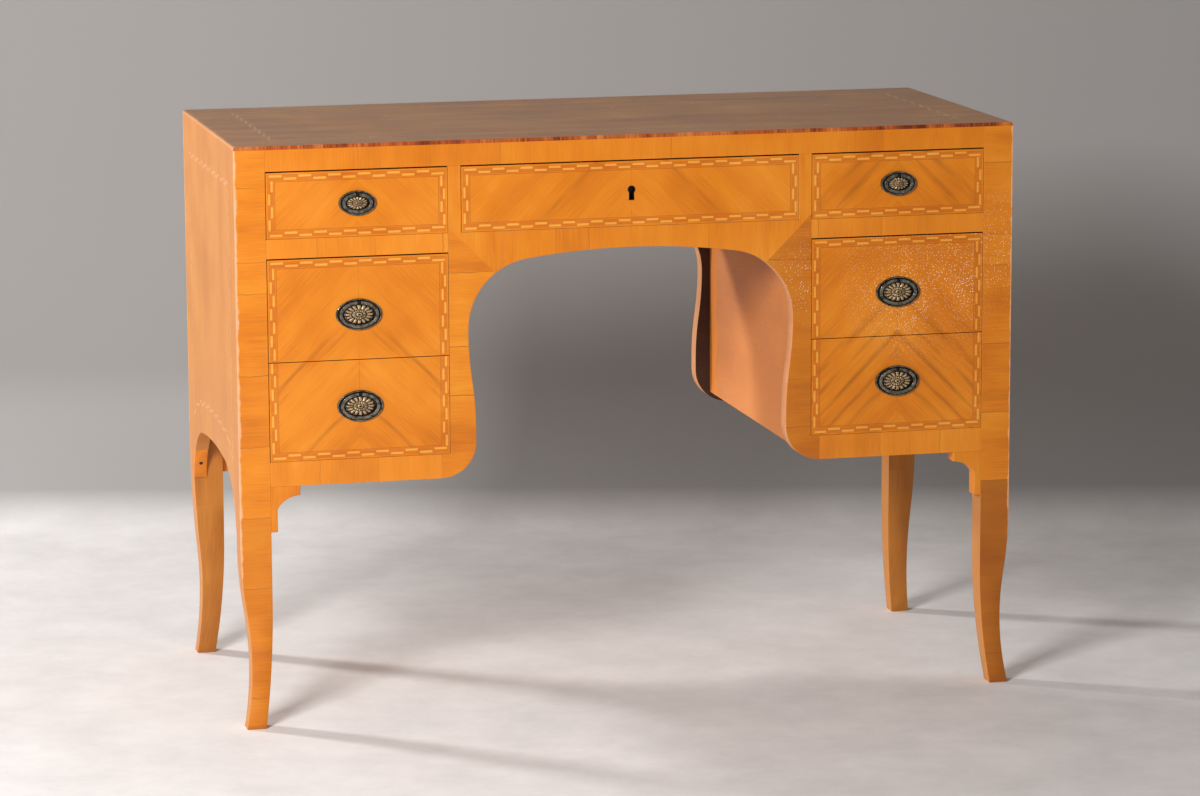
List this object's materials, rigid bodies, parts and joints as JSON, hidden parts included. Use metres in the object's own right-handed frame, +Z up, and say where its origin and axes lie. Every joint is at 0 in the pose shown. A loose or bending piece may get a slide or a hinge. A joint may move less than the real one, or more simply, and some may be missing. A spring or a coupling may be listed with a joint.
{
  "type": "kneehole writing desk",
  "caption": "Veneered kneehole writing desk on sabre legs, with pedestals of drawers under a flat top, oval drop handles and a keyhole in the middle drawer.",
  "frame": {"origin": "on the floor under the middle of the desk's bounding box", "axes": "+Z up, +X along the desk's width to the sitter's right hand, the drawers open towards -Y"},
  "size_m": [1.076, 0.482, 0.784],
  "materials": {
    "fruitwood_veneer": "cross-grained veneer, old wax polish",
    "drawer_veneer": "chevron-matched veneer with a chequered inlay border, old wax polish",
    "top_veneer": "dulled polish",
    "dark_edging": "polished dark edging",
    "inner_pine": "plain stained board",
    "carcass_pine": "plain stained board",
    "drawer_oak": "bare planed wood",
    "aged_brass": "dark patina, rubbed bright on the high places",
    "lock_steel": "dulled iron"
  },
  "bodies": {
    "carcass": {"desk_top": "top_veneer", "top_edge_strip": "dark_edging", "front_left_leg": "fruitwood_veneer", "front_right_leg": "fruitwood_veneer", "rear_left_leg": "fruitwood_veneer", "rear_right_leg": "fruitwood_veneer", "left_side_panel": "fruitwood_veneer", "right_side_panel": "fruitwood_veneer", "side_arch_brackets": "fruitwood_veneer", "front_top_rail": "fruitwood_veneer", "kneehole_arch_rail": "fruitwood_veneer", "left_kneehole_stile": "fruitwood_veneer", "right_kneehole_stile": "fruitwood_veneer", "pedestal_rails": "fruitwood_veneer", "back_arch_rail": "carcass_pine", "left_back_panel": "carcass_pine", "right_back_panel": "carcass_pine", "leg_brackets": "fruitwood_veneer", "left_inner_side": "inner_pine", "right_inner_side": "inner_pine", "drawer_runners": "drawer_oak", "drawer_guides": "drawer_oak", "drawer_kickers": "drawer_oak", "drawer_stops": "drawer_oak"},
    "left_top_drawer": {"left_top_drawer_front": "drawer_veneer", "left_top_drawer_box": "drawer_oak", "left_top_drawer_bottom": "drawer_oak", "left_top_handle_plate": "aged_brass"},
    "left_upper_drawer": {"left_upper_drawer_front": "drawer_veneer", "left_upper_drawer_box": "drawer_oak", "left_upper_drawer_bottom": "drawer_oak", "left_upper_handle_plate": "aged_brass"},
    "left_lower_drawer": {"left_lower_drawer_front": "drawer_veneer", "left_lower_drawer_box": "drawer_oak", "left_lower_drawer_bottom": "drawer_oak", "left_lower_handle_plate": "aged_brass"},
    "right_top_drawer": {"right_top_drawer_front": "drawer_veneer", "right_top_drawer_box": "drawer_oak", "right_top_drawer_bottom": "drawer_oak", "right_top_handle_plate": "aged_brass"},
    "right_upper_drawer": {"right_upper_drawer_front": "drawer_veneer", "right_upper_drawer_box": "drawer_oak", "right_upper_drawer_bottom": "drawer_oak", "right_upper_handle_plate": "aged_brass"},
    "right_lower_drawer": {"right_lower_drawer_front": "drawer_veneer", "right_lower_drawer_box": "drawer_oak", "right_lower_drawer_bottom": "drawer_oak", "right_lower_handle_plate": "aged_brass"},
    "centre_drawer": {"centre_drawer_front": "drawer_veneer", "centre_drawer_box": "drawer_oak", "centre_drawer_bottom": "drawer_oak", "lock_case": "lock_steel", "keyhole_liner": "aged_brass"},
    "left_top_bail": {"left_top_handle_bail": "aged_brass"},
    "left_upper_bail": {"left_upper_handle_bail": "aged_brass"},
    "left_lower_bail": {"left_lower_handle_bail": "aged_brass"},
    "right_top_bail": {"right_top_handle_bail": "aged_brass"},
    "right_upper_bail": {"right_upper_handle_bail": "aged_brass"},
    "right_lower_bail": {"right_lower_handle_bail": "aged_brass"},
    "lock_bolt": {"lock_bolt": "lock_steel"}
  },
  "joints": [
    {"name": "left_top_drawer_slide", "type": "slide", "parent": "carcass", "child": "left_top_drawer", "axis": [0, -1, 0], "range_m": [0, 0.3]},
    {"name": "left_upper_drawer_slide", "type": "slide", "parent": "carcass", "child": "left_upper_drawer", "axis": [0, -1, 0], "range_m": [0, 0.3]},
    {"name": "left_lower_drawer_slide", "type": "slide", "parent": "carcass", "child": "left_lower_drawer", "axis": [0, -1, 0], "range_m": [0, 0.3]},
    {"name": "right_top_drawer_slide", "type": "slide", "parent": "carcass", "child": "right_top_drawer", "axis": [0, -1, 0], "range_m": [0, 0.3]},
    {"name": "right_upper_drawer_slide", "type": "slide", "parent": "carcass", "child": "right_upper_drawer", "axis": [0, -1, 0], "range_m": [0, 0.3]},
    {"name": "right_lower_drawer_slide", "type": "slide", "parent": "carcass", "child": "right_lower_drawer", "axis": [0, -1, 0], "range_m": [0, 0.3]},
    {"name": "centre_drawer_slide", "type": "slide", "parent": "carcass", "child": "centre_drawer", "axis": [0, -1, 0], "range_m": [0, 0.3]},
    {"name": "left_top_bail_hinge", "type": "hinge", "parent": "left_top_drawer", "child": "left_top_bail", "pos_m": [-0.374, -0.23465, 0.7165], "axis": [-1, 0, 0], "range_deg": [0, 100]},
    {"name": "left_upper_bail_hinge", "type": "hinge", "parent": "left_upper_drawer", "child": "left_upper_bail", "pos_m": [-0.374, -0.23465, 0.572], "axis": [-1, 0, 0], "range_deg": [0, 100]},
    {"name": "left_lower_bail_hinge", "type": "hinge", "parent": "left_lower_drawer", "child": "left_lower_bail", "pos_m": [-0.374, -0.23465, 0.4485], "axis": [-1, 0, 0], "range_deg": [0, 100]},
    {"name": "right_top_bail_hinge", "type": "hinge", "parent": "right_top_drawer", "child": "right_top_bail", "pos_m": [0.374, -0.23465, 0.7165], "axis": [-1, 0, 0], "range_deg": [0, 100]},
    {"name": "right_upper_bail_hinge", "type": "hinge", "parent": "right_upper_drawer", "child": "right_upper_bail", "pos_m": [0.374, -0.23465, 0.572], "axis": [-1, 0, 0], "range_deg": [0, 100]},
    {"name": "right_lower_bail_hinge", "type": "hinge", "parent": "right_lower_drawer", "child": "right_lower_bail", "pos_m": [0.374, -0.23465, 0.4485], "axis": [-1, 0, 0], "range_deg": [0, 100]},
    {"name": "lock_bolt_slide", "type": "slide", "parent": "centre_drawer", "child": "lock_bolt", "axis": [0, 0, 1], "range_m": [0, 0.007]}
  ]
}
